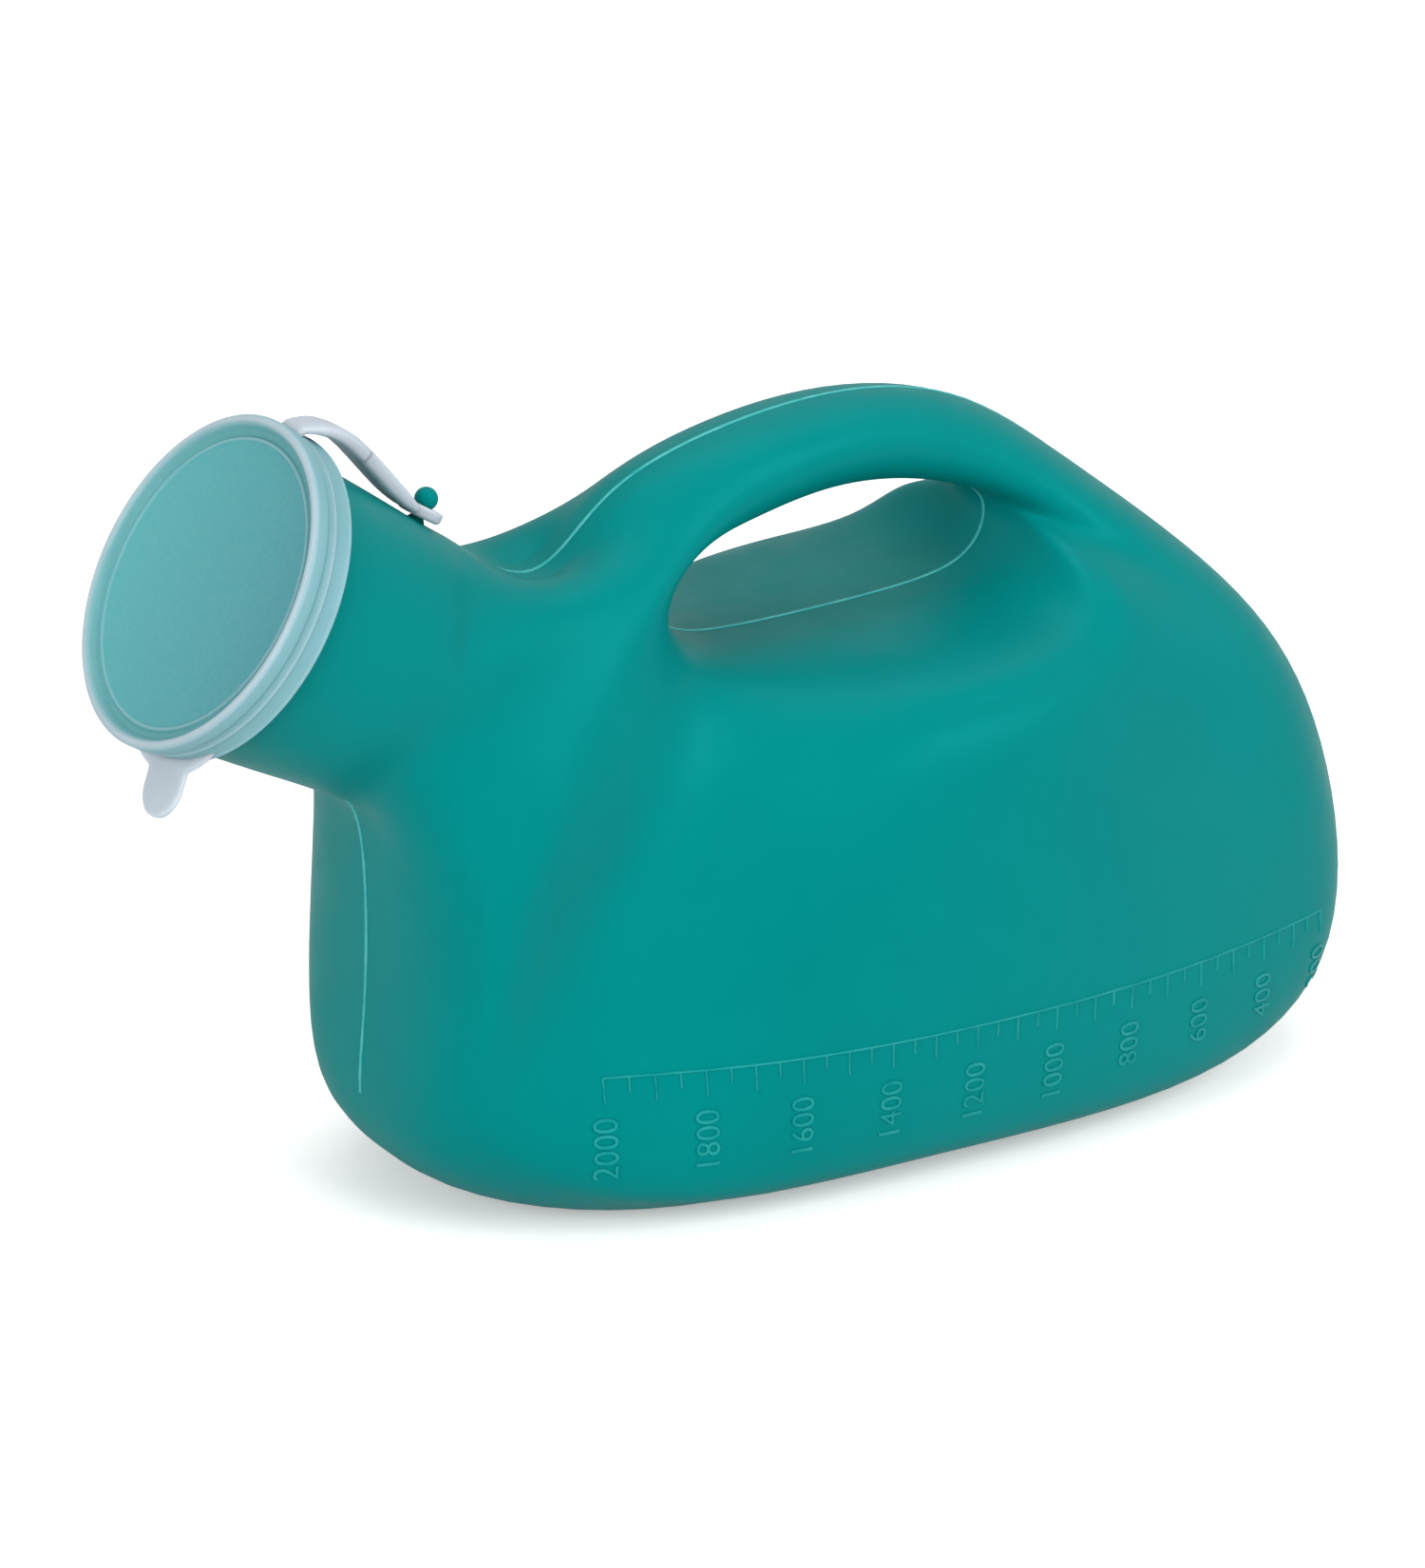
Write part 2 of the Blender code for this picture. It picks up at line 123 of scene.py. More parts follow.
LINE_HALF_WIDTH = 0.42
LINE_HEIGHT = 0.24
LINE_SINK = 0.3
FRONT_LINE = (24.0, 96.0)  # from this height to this, down the front wall
REAR_LINE_LOWEST = 12.0
LINE_TAPER = 4.0  # length over which a line runs out
LINE_LEAST = 0.02  # share of its height that a line keeps at its end
ON_MID_PLANE = 0.01
RIB_PROFILE = (  # across and up, as shares of a rib's half width and height
    (-1.0, -1.0), (-1.0, 0.0), (-0.55, 0.8), (0.0, 1.0), (0.55, 0.8), (1.0, 0.0), (1.0, -1.0),
)

SCALE_HEIGHT = 38.0
SCALE_FIRST = 32.0  # distance of the 2000 ml line from the front wall
SCALE_STEP = 19.85  # along the bottle, for 200 ml
SCALE_LABELS = ("2000", "1800", "1600", "1400", "1200", "1000", "800", "600", "400", "200")
TICKS_PER_STEP = 4
LONG_TICK = 5.2
SHORT_TICK = 3.2
MARK_HALF_WIDTH = 0.28
MARK_RELIEF = 0.28
MARK_SINK = 0.5
MARK_SPACING = 1.5
BESIDE_BOTTLE = -200.0  # a y that is clear of the bottle
DIGIT_SIZE = 6.9  # type size, for digits about 5 mm tall
LABEL_TOP = 30.0  # height of the labels' ends under the ticks

# ---------------------------------------------------------------- cap and tether

RIM_RADIUS = 34.2
SKIRT_RADIUS = 33.6
SKIRT_INNER_RADIUS = 32.7
SKIRT_DEPTH = 9.4
LID_PROFILE = (  # radius, height over the cap's front plane
    (0.0, -1.9),
    (29.0, -1.9),
    (29.35, -1.6),
    (29.85, -1.6),
    (30.2, -2.15),
    (31.4, -2.15),
    (32.1, -0.6),
    (32.7, 0.0),
    (33.5, 0.0),
    (RIM_RADIUS, -0.7),
    (RIM_RADIUS, -3.1),
    (SKIRT_RADIUS, -3.7),
    (33.55, -5.0),
    (33.95, -5.4),
    (SKIRT_RADIUS, -5.9),
    (SKIRT_RADIUS, -8.7),
    (33.95, -9.0),
    (33.85, -SKIRT_DEPTH),
    (SKIRT_INNER_RADIUS, -SKIRT_DEPTH),
    (SKIRT_INNER_RADIUS, -3.6),
    (0.0, -3.4),
)
LID_ROUNDING = 0.25

TAB_DEPTH = 8.4
TAB_TURN = math.radians(13.0)
TAB_LEAN = math.radians(4.0)
TAB_ROOT_RADIUS = SKIRT_RADIUS + 0.6
TAB_LENGTH = 11.1
TAB_HALF_WIDTH = 6.3
TAB_THICKNESS = 1.3
SHOULDER_HALF_WIDTH = 13.5
SHOULDER_LENGTH = 1.2
TAB_STRAIGHT = TAB_LENGTH - TAB_HALF_WIDTH  # from the root to where its round end starts
TAB_FILLET = 0.4  # extra half width under the shoulder, and how far out it reaches
TAB_FILLET_REACH = 0.9
TAB_ROOT_SINK = 0.8
TAB_SHOULDER_ROWS = 6
TAB_STRAIGHT_ROWS = 8
TAB_ROUND_ROWS = 14
TAB_COLUMNS = 20
TAB_TIP_ROUNDING = 0.6  # as a share of its thickness

STRAP_WIDTH = 9.0
STRAP_PATH = (  # depth, height, thickness, share of the full width
    (4.3, 33.5, 1.9, 0.80),
    (5.0, 34.7, 1.7, 0.84),
    (6.6, 35.65, 1.9, 0.92),
    (8.8, 36.45, 2.5, 1.0),
    (10.9, 36.85, 2.8, 1.0),
    (14.0, 36.95, 3.1, 1.0),
    (17.5, 36.4, 3.5, 1.0),
    (20.5, 35.55, 3.6, 1.0),
    (23.5, 34.6, 3.7, 1.0),
    (30.0, 32.45, 3.6, 1.0),
    (34.4, 31.2, 3.0, 0.98),
    (36.2, 30.75, 2.2, 0.92),
    (37.2, 30.5, 1.7, 0.84),
)
STRAP_SPLIT = 7  # the tether is two pieces that meet at this point of its path
STRAP_SEAM = 0.02  # the gap that keeps their ends from lying in one plane
STRAP_STEPS = 8
STRAP_SIDES = 32
STRAP_CORNER = 0.6
EYELET_RADIUS = 4.6
EYELET_HOLE_RADIUS = 1.9
EYELET_LOW = 29.3
EYELET_HIGH = 31.7
EYELET_ROUNDING = 1.0

# ---------------------------------------------------------------- colours

TEAL_DARK = (0.0, 0.165, 0.159)
TEAL_LIGHT = (0.0, 0.181, 0.175)
SCALE_DARK = (0.0, 0.175, 0.172)
SCALE_LIGHT = (0.014, 0.235, 0.228)
LINE_DARK = (0.02, 0.270, 0.265)
LINE_LIGHT = (0.09, 0.380, 0.370)
TEAL_SHEEN = (0.05, 1.0, 1.0, 1.0)
MILKY_DARK = (0.42, 0.47, 0.52)
MILKY_LIGHT = (0.48, 0.53, 0.59)
# Painted light: the teal seen through the lid from behind, painted into its colour; the far side is
# painted brighter.
DISC_FAR_PAINTED_LIGHT = (0.080, 0.360, 0.372)
DISC_NEAR_PAINTED_LIGHT = (0.055, 0.270, 0.298)
PAINTED_TEAL_BEHIND_SKIRT = (0.11, 0.35, 0.39)
# Painted light: how far each place is from the teal painted as seen through it from behind (0) to
# milky (1).
FACE_PAINTED_LIGHT_BANDS = (
    (0.0, 0.0), (0.17, 0.0), (0.20, 0.28), (0.25, 0.28), (0.30, 0.06), (0.54, 0.10), (0.63, 0.4),
    (0.70, 0.78), (0.78, 0.78),
)
SKIRT_PAINTED_LIGHT_BANDS = (
    (0.0, 0.55), (0.06, 0.25), (0.36, 0.16), (0.42, 0.42), (0.45, 0.42), (0.49, 0.18), (0.62, 0.12),
    (0.70, 0.20), (0.90, 0.26), (0.95, 0.5), (1.0, 0.78),
)

# ---------------------------------------------------------------- camera, light, floor

CAMERA_TURN = math.radians(34.9)
CAMERA_RISE = math.radians(22.4)
CAMERA_ROLL = math.radians(1.5)
CAMERA_DISTANCE = 1113.5
CAMERA_TARGET = (-7.24, 0.0, 77.45)
CAMERA_SHIFT = (-2.0, 0.85)  # millimetres at the target, along the picture's sides
FOCAL_WIDTHS = 5638.0 / 1500.0  # focal length in picture widths
PICTURE = (1500, 1650)
SENSOR = 36.0

LIGHTS = (  # name, place, size, power
    ("key", (0.5, -1.6, 1.1), 1.3, 26.0),
    ("fill", (-1.6, -0.8, 0.6), 1.3, 24.0),
    ("top", (0.1, 0.2, 1.8), 1.6, 11.0),
)
LIGHT_TARGET = (0.0, 0.0, 0.07)
WORLD_STRENGTH = 0.6

FLOOR_SIZE = 12.0
FLOOR_SINK = 0.0002
FLOOR_DARK = (0.93, 0.93, 0.93)
FLOOR_LIGHT = (0.95, 0.95, 0.95)
FLOOR_GLOW = 0.25
FLOOR_BOUNCE = (0.62, 0.62, 0.62, 1.0)

INTO_TANK = Vector((math.cos(NECK_TILT), 0.0, -math.sin(NECK_TILT)))
OVER_NECK = Vector((math.sin(NECK_TILT), 0.0, math.cos(NECK_TILT)))
SCENE = bpy.context.scene.collection


def from_wall(x, y, z):
    return Vector((FRONT_WALL_X + x, y, z))


def at_neck(depth, height, y=0.0):
    """A point behind the cap's front by depth and over the neck's axis by height."""
    front = from_wall(CAP_FRONT[0], y, CAP_FRONT[1])
    return front + INTO_TANK * depth + OVER_NECK * height


def ring_point(depth, radius, turn):
    """Point of a ring about the neck's axis; the turn starts below it and goes by the near side."""
    return at_neck(depth, -radius * math.cos(turn), -radius * math.sin(turn))


def section_point(station, row):
    """Point of a section's near half, from its outer side at row 0 to its gap side at ROWS."""
    angle = math.pi * row / ROWS
    across, aside = math.cos(angle), math.sin(angle)
    corner = station.outer_corner if across > 0 else station.gap_corner
    aside_power = math.sqrt(corner) if across > 0 else corner
    share = (1.0 - math.copysign(abs(across) ** corner, across)) / 2.0
    width = station.outer_width + (station.gap_width - station.outer_width) * share
    x = station.outer[0] + (station.gap[0] - station.outer[0]) * share
    z = station.outer[1] + (station.gap[1] - station.outer[1]) * share
    return from_wall(x, -width * max(aside, 0.0) ** aside_power, z)


def bottle_cage():
    """The quads of the bottle's surface, which the smooth surface will run through."""
    cage = bmesh.new()
    last = 2 * ROWS
    grid = {}
    for column, station in enumerate(STATIONS):
        for row in range(last):
            signed_row = min(row, last - row)
            if NECK_FIRST < column < NECK_LAST and signed_row < NECK_ROWS:
                continue
            point = section_point(station, signed_row)
            if row > ROWS:
                point.y = -point.y
            grid[column, row] = cage.verts.new(point)
    for column in range(len(STATIONS)):
        after = (column + 1) % len(STATIONS)
        for row in range(last):
            above = (row + 1) % last
            corners = ((column, row), (after, row), (after, above), (column, above))
            beside_mid_plane = max(min(row, last - row), min(above, last - above)) <= NECK_ROWS
            if NECK_FIRST <= column < NECK_LAST and beside_mid_plane:
                continue
            cage.faces.new([grid[corner] for corner in corners])

    near = [(NECK_FIRST, row) for row in range(NECK_ROWS + 1)]
    near += [(column, NECK_ROWS) for column in range(NECK_FIRST + 1, NECK_LAST)]
    near += [(NECK_LAST, row) for row in range(NECK_ROWS, -1, -1)]
    far = [(column, last - row) for column, row in near[-2:0:-1]]
    inner = [grid[place] for place in near + far]
    for depth, radius in reversed(NECK_RINGS):
        turns = [2.0 * math.pi * k / len(inner) for k in range(len(inner))]
        outer = [cage.verts.new(ring_point(depth, radius, turn)) for turn in turns]
        for k in range(len(inner)):
            after = (k + 1) % len(inner)
            cage.faces.new((inner[k], inner[after], outer[after], outer[k]))
        inner = outer
    bmesh.ops.recalc_face_normals(cage, faces=cage.faces)
    return cage


def smooth_position(vertex):
    """Where the Catmull-Clark surface of a quad cage passes for one of its vertices."""
    if vertex.is_boundary:
        ends = [edge.other_vert(vertex) for edge in vertex.link_edges if edge.is_boundary]
        return (ends[0].co + ends[1].co + 4.0 * vertex.co) / 6.0
    valence = len(vertex.link_edges)
    beside = sum((edge.other_vert(vertex).co for edge in vertex.link_edges), Vector())
    across = Vector()
    for loop in vertex.link_loops:
        across += loop.link_loop_next.link_loop_next.vert.co
    return (valence**2 * vertex.co + 4.0 * beside + across) / (valence * (valence + 5))


def run_surface_through(cage, passes=12):
    """Moves the cage until its smooth surface passes through the points it was made from."""
    targets = [vertex.co.copy() for vertex in cage.verts]
    for _ in range(passes):
        gaps = [target - smooth_position(v) for target, v in zip(targets, cage.verts)]
        for vertex, gap in zip(cage.verts, gaps):
            vertex.co += gap


def baked(obj, name):
    """The object's mesh with its modifiers applied, as a new mesh; the object itself goes."""
    bpy.context.view_layer.update()
    graph = bpy.context.evaluated_depsgraph_get()
    mesh = bpy.data.meshes.new_from_object(obj.evaluated_get(graph))
    mesh.name = name
    bpy.data.objects.remove(obj, do_unlink=True)
    return mesh


def holder_of(mesh):
    obj = bpy.data.objects.new(mesh.name, mesh)
    SCENE.objects.link(obj)
    return obj


def piece(name, mesh, material, sharp=40.0):
    """A shaded object; edges that turn by more than sharp degrees stay crisp."""
    obj = bpy.data.objects.new(name, mesh)
    SCENE.objects.link(obj)
    mesh.materials.clear()
    mesh.materials.append(material)
    mesh.shade_smooth()
    mesh.set_sharp_from_angle(angle=math.radians(sharp))
    return obj


def mesh_of(name, points, faces):
    """A mesh in metres from points in millimetres, with its faces turned outwards."""
    mesh = bpy.data.meshes.new(name)
    mesh.from_pydata([tuple(Vector(p) * MM) for p in points], [], faces)
    shape = bmesh.new()
    shape.from_mesh(mesh)
    bmesh.ops.remove_doubles(shape, verts=shape.verts, dist=1e-7)
    bmesh.ops.recalc_face_normals(shape, faces=shape.faces)
    shape.to_mesh(mesh)
    shape.free()
    return mesh


def bottle_skin():
    """The bottle's outer surface, open at the mouth and flat where it rests."""
    cage = bottle_cage()
    run_surface_through(cage)
    bmesh.ops.scale(cage, vec=(MM, MM, MM), verts=cage.verts)
    coarse = bpy.data.meshes.new("skin_cage")
    cage.to_mesh(coarse)
    cage.free()
    holder = holder_of(coarse)
    smooth = holder.modifiers.new("smooth", "SUBSURF")
    smooth.levels = SKIN_LEVELS
    smooth.render_levels = SKIN_LEVELS
    skin = baked(holder, "skin")
    ease_folds(skin)
    for vertex in skin.vertices:
        vertex.co.z = max(vertex.co.z, 0.0)
    return skin


def easing_share(point):
    """How strongly the skin is eased at a point in millimetres: nothing near the mid-plane."""
    low, high = EASED_FROM_MID_PLANE
    aside = min(max((abs(point.y) - low) / (high - low), 0.0), 1.0)
    share = 0.0
    for (x, y, z), radius, most in EASED_PLACES:
        away = (Vector((point.x, abs(point.y), point.z)) - from_wall(x, y, z)).length / radius
        if away < 1.0:
            share = max(share, most * (1.0 - away**2) ** 2)
    return share * aside


def ease_folds(mesh):
    """Relaxes the skin about the handle's foot, where its sections crowd together."""
    shares = [easing_share(vertex.co / MM) for vertex in mesh.vertices]
    beside = {index: [] for index, share in enumerate(shares) if share > 0.0}
    for edge in mesh.edges:
        first, second = edge.vertices
        if first in beside:
            beside[first].append(second)
        if second in beside:
            beside[second].append(first)
    places = [vertex.co.copy() for vertex in mesh.vertices]
    for _ in range(EASING_PASSES):
        moved = {}
        for index, others in beside.items():
            middle = sum((places[other] for other in others), Vector()) / len(others)
            moved[index] = places[index].lerp(middle, 0.5 * shares[index])
        for index, place in moved.items():
            places[index] = place
    for vertex, place in zip(mesh.vertices, places):
        vertex.co = place


def walled(skin):
    """The skin with the wall's thickness inside it."""
    holder = holder_of(skin.copy())
    shell = holder.modifiers.new("wall", "SOLIDIFY")
    shell.thickness = WALL * MM
    shell.offset = -1.0
    shell.use_even_offset = True
    return baked(holder, "bottle_shell")


def turned(name, profile, steps):
    """A closed turned mesh about Z from (radius, z) points, listed down its outer side."""
    mesh = bpy.data.meshes.new(name)
    points = [(radius * MM, 0.0, z * MM) for radius, z in profile]
    edges = [(k, k + 1) for k in range(len(points) - 1)]
    if profile[0][0] > 0.0 or profile[-1][0] > 0.0:
        edges.append((len(points) - 1, 0))
    mesh.from_pydata(points, edges, [])
    holder = holder_of(mesh)
    screw = holder.modifiers.new("turn", "SCREW")
    screw.steps = steps
    screw.render_steps = steps
    screw.use_merge_vertices = True
    screw.merge_threshold = 0.00001
    return baked(holder, name)


def rounded(profile, radius, steps=3):
    """The profile with each inner point replaced by a small arc-like run of points."""
    out = [profile[0]]
    for before, corner, after in zip(profile, profile[1:], profile[2:]):
        corner = Vector(corner)
        into, away = Vector(before) - corner, Vector(after) - corner
        reach = min(radius, into.length * 0.45, away.length * 0.45)
        start = corner + into.normalized() * reach
        end = corner + away.normalized() * reach
        for k in range(steps + 1):
            t = k / steps
            out.append(tuple(start * (1 - t) ** 2 + corner * 2 * t * (1 - t) + end * t**2))
    out.append(profile[-1])
    return out


def placed(axes, origin):
    """The matrix, in metres, of the frame with these axes at an origin in millimetres."""
    return Matrix.Translation(origin * MM) @ Matrix(axes).transposed().to_4x4()


def neck_frame(origin):
    """A frame whose Z points over the neck and X into the tank."""
    return placed((INTO_TANK, OVER_NECK.cross(INTO_TANK), OVER_NECK), origin)


def cap_frame(origin):
    """A frame whose Z points out of the mouth and Y over the neck."""
    return placed((OVER_NECK.cross(-INTO_TANK), OVER_NECK, -INTO_TANK), origin)


# ---------------------------------------------------------------- relief on the bottle


def mid_plane_lines(skin):
    """Runs of the skin's edges in the mid-plane, each a list of (point, normal) in millimetres."""
    shape = bmesh.new()
    shape.from_mesh(skin)
    shape.normal_update()
    on_plane = {v for v in shape.verts if abs(v.co.y) < ON_MID_PLANE * MM}
    beside = {}
    for v in on_plane:
        beside[v] = [e.other_vert(v) for e in v.link_edges if e.other_vert(v) in on_plane]
    left = set(on_plane)
    lines = []
    while left:
        ends = [v for v in left if len(beside[v]) == 1]
        start = min(ends or left, key=lambda v: (v.co.x, v.co.z))
        run = [start]
        left.discard(start)
        while True:
            following = [v for v in beside[run[-1]] if v in left]
            if not following:
                break
            run.append(following[0])
            left.discard(following[0])
        if not ends:
            run.append(run[0])
        lines.append([(v.co / MM, v.normal.copy()) for v in run])
    shape.free()
    return lines


def tube_faces(rings, sides):
    """Faces of a closed tube whose points are listed ring by ring, with its two ends."""
    faces = []
    for k in range(rings - 1):
        for j in range(sides):
            after = (j + 1) % sides
            low, high = k * sides, (k + 1) * sides
            faces.append((low + j, low + after, high + after, high + j))
    faces.append(tuple(range(sides)))
    faces.append(tuple(range((rings - 1) * sides, rings * sides)))
    return faces


def relief_strip(points, normals, sides, half_width, height, sink, taper=0.0):
    """A low rounded rib along points: (points, faces) of one closed body."""
    lengths = [0.0]
    for before, after in zip(points, points[1:]):
        lengths.append(lengths[-1] + (after - before).length)
    corners = []
    for point, normal, side, along in zip(points, normals, sides, lengths):
        fade = 1.0
        if taper > 0.0:
            fade = min(1.0, along / taper, (lengths[-1] - along) / taper)
            fade = max(fade, LINE_LEAST)
        for across, up in RIB_PROFILE:
            lift = up * height * fade if up > 0.0 else up * sink
            corners.append(point + side * (across * half_width) + normal * lift)
    return corners, tube_faces(len(points), len(RIB_PROFILE))


def joined(parts):
    """Several (points, faces) as one."""
    points, faces = [], []
    for more_points, more_faces in parts:
        start = len(points)
        points += more_points
        faces += [tuple(start + index for index in face) for face in more_faces]
    return points, faces


def parting_line(skin):
    """The fine rib where the mould's halves met: on the front wall, over the handle, in its gap."""

    def shown(point):
        on_front = point.x < FRONT_WALL_X + 12.0 and FRONT_LINE[0] < point.z < FRONT_LINE[1]
        over_top = point.x > FRONT_WALL_X + 30.0 and point.z > REAR_LINE_LOWEST
        return on_front or over_top

    parts = []
    for line in mid_plane_lines(skin):
        closed = (line[0][0] - line[-1][0]).length < 1e-6
        runs, run = [], []
        for place in line:
            if closed or shown(place[0]):
                run.append(place)
            elif run:
                runs.append(run)
                run = []
        if run:
            runs.append(run)
        for run in runs:
            if len(run) < 4:
                continue
            points = [place[0] for place in run]
            normals = [place[1] for place in run]
            sides = [Vector((0.0, 1.0, 0.0))] * len(run)
            taper = 0.0 if closed else LINE_TAPER
            size = (LINE_HALF_WIDTH, LINE_HEIGHT, LINE_SINK, taper)
            parts.append(relief_strip(points, normals, sides, *size))
    return mesh_of("parting_line", *joined(parts))


def scale_marks(skin):
    """The raised scale on the near side: a line, its ticks and its numbers, lying on the skin."""
    tree = BVHTree.FromPolygons(
        [v.co.copy() for v in skin.vertices], [tuple(p.vertices) for p in skin.polygons]
    )

    def on_skin(x, z):
        start = from_wall(x, BESIDE_BOTTLE, z) * MM
        place, normal, _, _ = tree.ray_cast(start, Vector((0.0, 1.0, 0.0)))
        if place is None:
            return None
        return place / MM, normal

    def mark(x0, z0, x1, z1):
        count = max(2, int(math.hypot(x1 - x0, z1 - z0) / MARK_SPACING) + 1)
        places = []
        for k in range(count):
            place = on_skin(x0 + (x1 - x0) * k / (count - 1), z0 + (z1 - z0) * k / (count - 1))
            if place is not None:
                places.append(place)
        if len(places) < 2:
            return None
        points = [place[0] for place in places]
        normals = [place[1] for place in places]
        sides = []
        for k, normal in enumerate(normals):
            along = points[min(k + 1, len(points) - 1)] - points[max(k - 1, 0)]
            sides.append(along.cross(normal).normalized())
        return relief_strip(points, normals, sides, MARK_HALF_WIDTH, MARK_RELIEF, MARK_SINK)

    last = SCALE_FIRST + SCALE_STEP * (len(SCALE_LABELS) - 1)
    marks = [mark(SCALE_FIRST, SCALE_HEIGHT, last, SCALE_HEIGHT)]
    ticks = TICKS_PER_STEP * (len(SCALE_LABELS) - 1) + 1
    for k in range(ticks):
        x = SCALE_FIRST + SCALE_STEP * k / TICKS_PER_STEP
        length = SHORT_TICK if k % 2 else LONG_TICK
        marks.append(mark(x, SCALE_HEIGHT, x, SCALE_HEIGHT - length))
    for k, label in enumerate(SCALE_LABELS):
        marks.append(label_relief(label, SCALE_FIRST + SCALE_STEP * k, on_skin))
    return mesh_of("scale_marks", *joined([made for made in marks if made]))


def label_relief(text, x, on_skin):
    """A number as a raised body on the skin, read from the base upwards."""
    curve = bpy.data.curves.new("label", "FONT")
    curve.body = text
    curve.size = DIGIT_SIZE
    curve.align_x = "RIGHT"
    curve.align_y = "CENTER"
    curve.extrude = 1.0
    curve.resolution_u = 4
    holder = bpy.data.objects.new("label", curve)
    SCENE.objects.link(holder)
    mesh = baked(holder, "label")
    points = []
    for vertex in mesh.vertices:
        place = on_skin(x - vertex.co.y, LABEL_TOP + vertex.co.x)
        if place is None:
            return None
        lift = MARK_RELIEF if vertex.co.z > 0.0 else -MARK_SINK
        points.append(place[0] + place[1] * lift)
    return points, [tuple(face.vertices) for face in mesh.polygons]


# ---------------------------------------------------------------- soft pieces


def smooth_line(points, steps):
    """Points of a Catmull-Rom curve through the given points."""
    ends = [2 * np.array(points[0]) - np.array(points[1])]
    ends += [np.array(point, float) for point in points]
    ends.append(2 * ends[-1] - ends[-2])
    line = []
    for k in range(1, len(ends) - 2):
        a, b, c, d = ends[k - 1 : k + 3]
        for step in range(steps):
            t = step / steps
            square = (2 * a - 5 * b + 4 * c - d) * t**2
            cube = (3 * b - a - 3 * c + d) * t**3
            line.append(0.5 * (2 * b + (c - a) * t + square + cube))
    line.append(ends[-2])
    return line


def rounded_box(turn, half_width, half_height, corner):
    """Point of a rectangle with round corners, by turn."""
    c, s = math.cos(turn), math.sin(turn)
    return (
        half_width * math.copysign(abs(c) ** corner, c),
        half_height * math.copysign(abs(s) ** corner, s),
    )


def strap_mesh(name, line, directions):
    """A closed band along a line of (depth, height, thickness, share of width)."""
    points = []
    for (depth, height, thickness, share), along in zip(line, directions):
        normal = np.array((-along[1], along[0]))
        for k in range(STRAP_SIDES):
            turn = 2.0 * math.pi * (k + 0.5) / STRAP_SIDES
            aside, up = rounded_box(turn, STRAP_WIDTH / 2 * share, thickness / 2, STRAP_CORNER)
            points.append(at_neck(depth + normal[0] * up, height + normal[1] * up, aside))
    return mesh_of(name, points, tube_faces(len(line), STRAP_SIDES))


def strap_halves():
    """The tether's front and rear meshes, which meet where the strap is rigid."""
    line = smooth_line(STRAP_PATH, STRAP_STEPS)
    directions = []
    for k in range(len(line)):
        along = line[min(k + 1, len(line) - 1)][:2] - line[max(k - 1, 0)][:2]
        directions.append(along / np.linalg.norm(along))
    split = STRAP_SPLIT * STRAP_STEPS
    seam = line[split].copy()
    seam[:2] += directions[split] * STRAP_SEAM
    front = strap_mesh("tether_front", line[: split + 1], directions[: split + 1])
    rear = strap_mesh("tether_rear", [seam] + line[split + 1 :], directions[split:])
    return front, rear


def eyelet_ring():
    """The ring round the stud; its profile starts and ends, nearly shut, on its flat top."""
    middle = (EYELET_HOLE_RADIUS + EYELET_RADIUS) / 2
    profile = [
        (middle, EYELET_HIGH),
        (EYELET_RADIUS, EYELET_HIGH),
        (EYELET_RADIUS, EYELET_LOW),
        (EYELET_HOLE_RADIUS, EYELET_LOW),
        (EYELET_HOLE_RADIUS, EYELET_HIGH),
        (middle - 0.05, EYELET_HIGH),
    ]
    ring = turned("eyelet_ring", rounded(profile, EYELET_ROUNDING, 6), 64)
    ring.transform(neck_frame(at_neck(STUD_DEPTH, 0.0)))
    return ring


def united(first, second, name):
    """Both closed meshes as one body."""
    holder, other = holder_of(first), holder_of(second)
    join = holder.modifiers.new("join", "BOOLEAN")
    join.operation = "UNION"
    join.solver = "EXACT"
    join.object = other
    mesh = baked(holder, name)
    bpy.data.objects.remove(other, do_unlink=True)
    return mesh


def tab_half_width(out):
    """Half the tab's width at a distance out from its root's arc."""
    if out < SHOULDER_LENGTH:
        share = 1.0 - out / SHOULDER_LENGTH
        wider = SHOULDER_HALF_WIDTH - TAB_HALF_WIDTH - TAB_FILLET
        return TAB_HALF_WIDTH + TAB_FILLET + wider * share
    if out < TAB_STRAIGHT:
        neck = max(0.0, 1.0 - (out - SHOULDER_LENGTH) / TAB_FILLET_REACH)
        return TAB_HALF_WIDTH + TAB_FILLET * neck**2
    return math.sqrt(max(TAB_HALF_WIDTH**2 - (out - TAB_STRAIGHT) ** 2, 0.0))


def tab_rows():
    """Distances out from the root's arc at which the tab's rows of points lie."""
    quarter = math.pi / 2
    shoulder = TAB_SHOULDER_ROWS
    rest = TAB_STRAIGHT - SHOULDER_LENGTH
    outs = [SHOULDER_LENGTH * k / shoulder for k in range(shoulder + 1)]
    for k in range(1, TAB_STRAIGHT_ROWS + 1):
        outs.append(SHOULDER_LENGTH + rest * k / TAB_STRAIGHT_ROWS)
    for k in range(1, TAB_ROUND_ROWS + 1):
        outs.append(TAB_STRAIGHT + TAB_HALF_WIDTH * math.sin(quarter * k / TAB_ROUND_ROWS))
    return outs


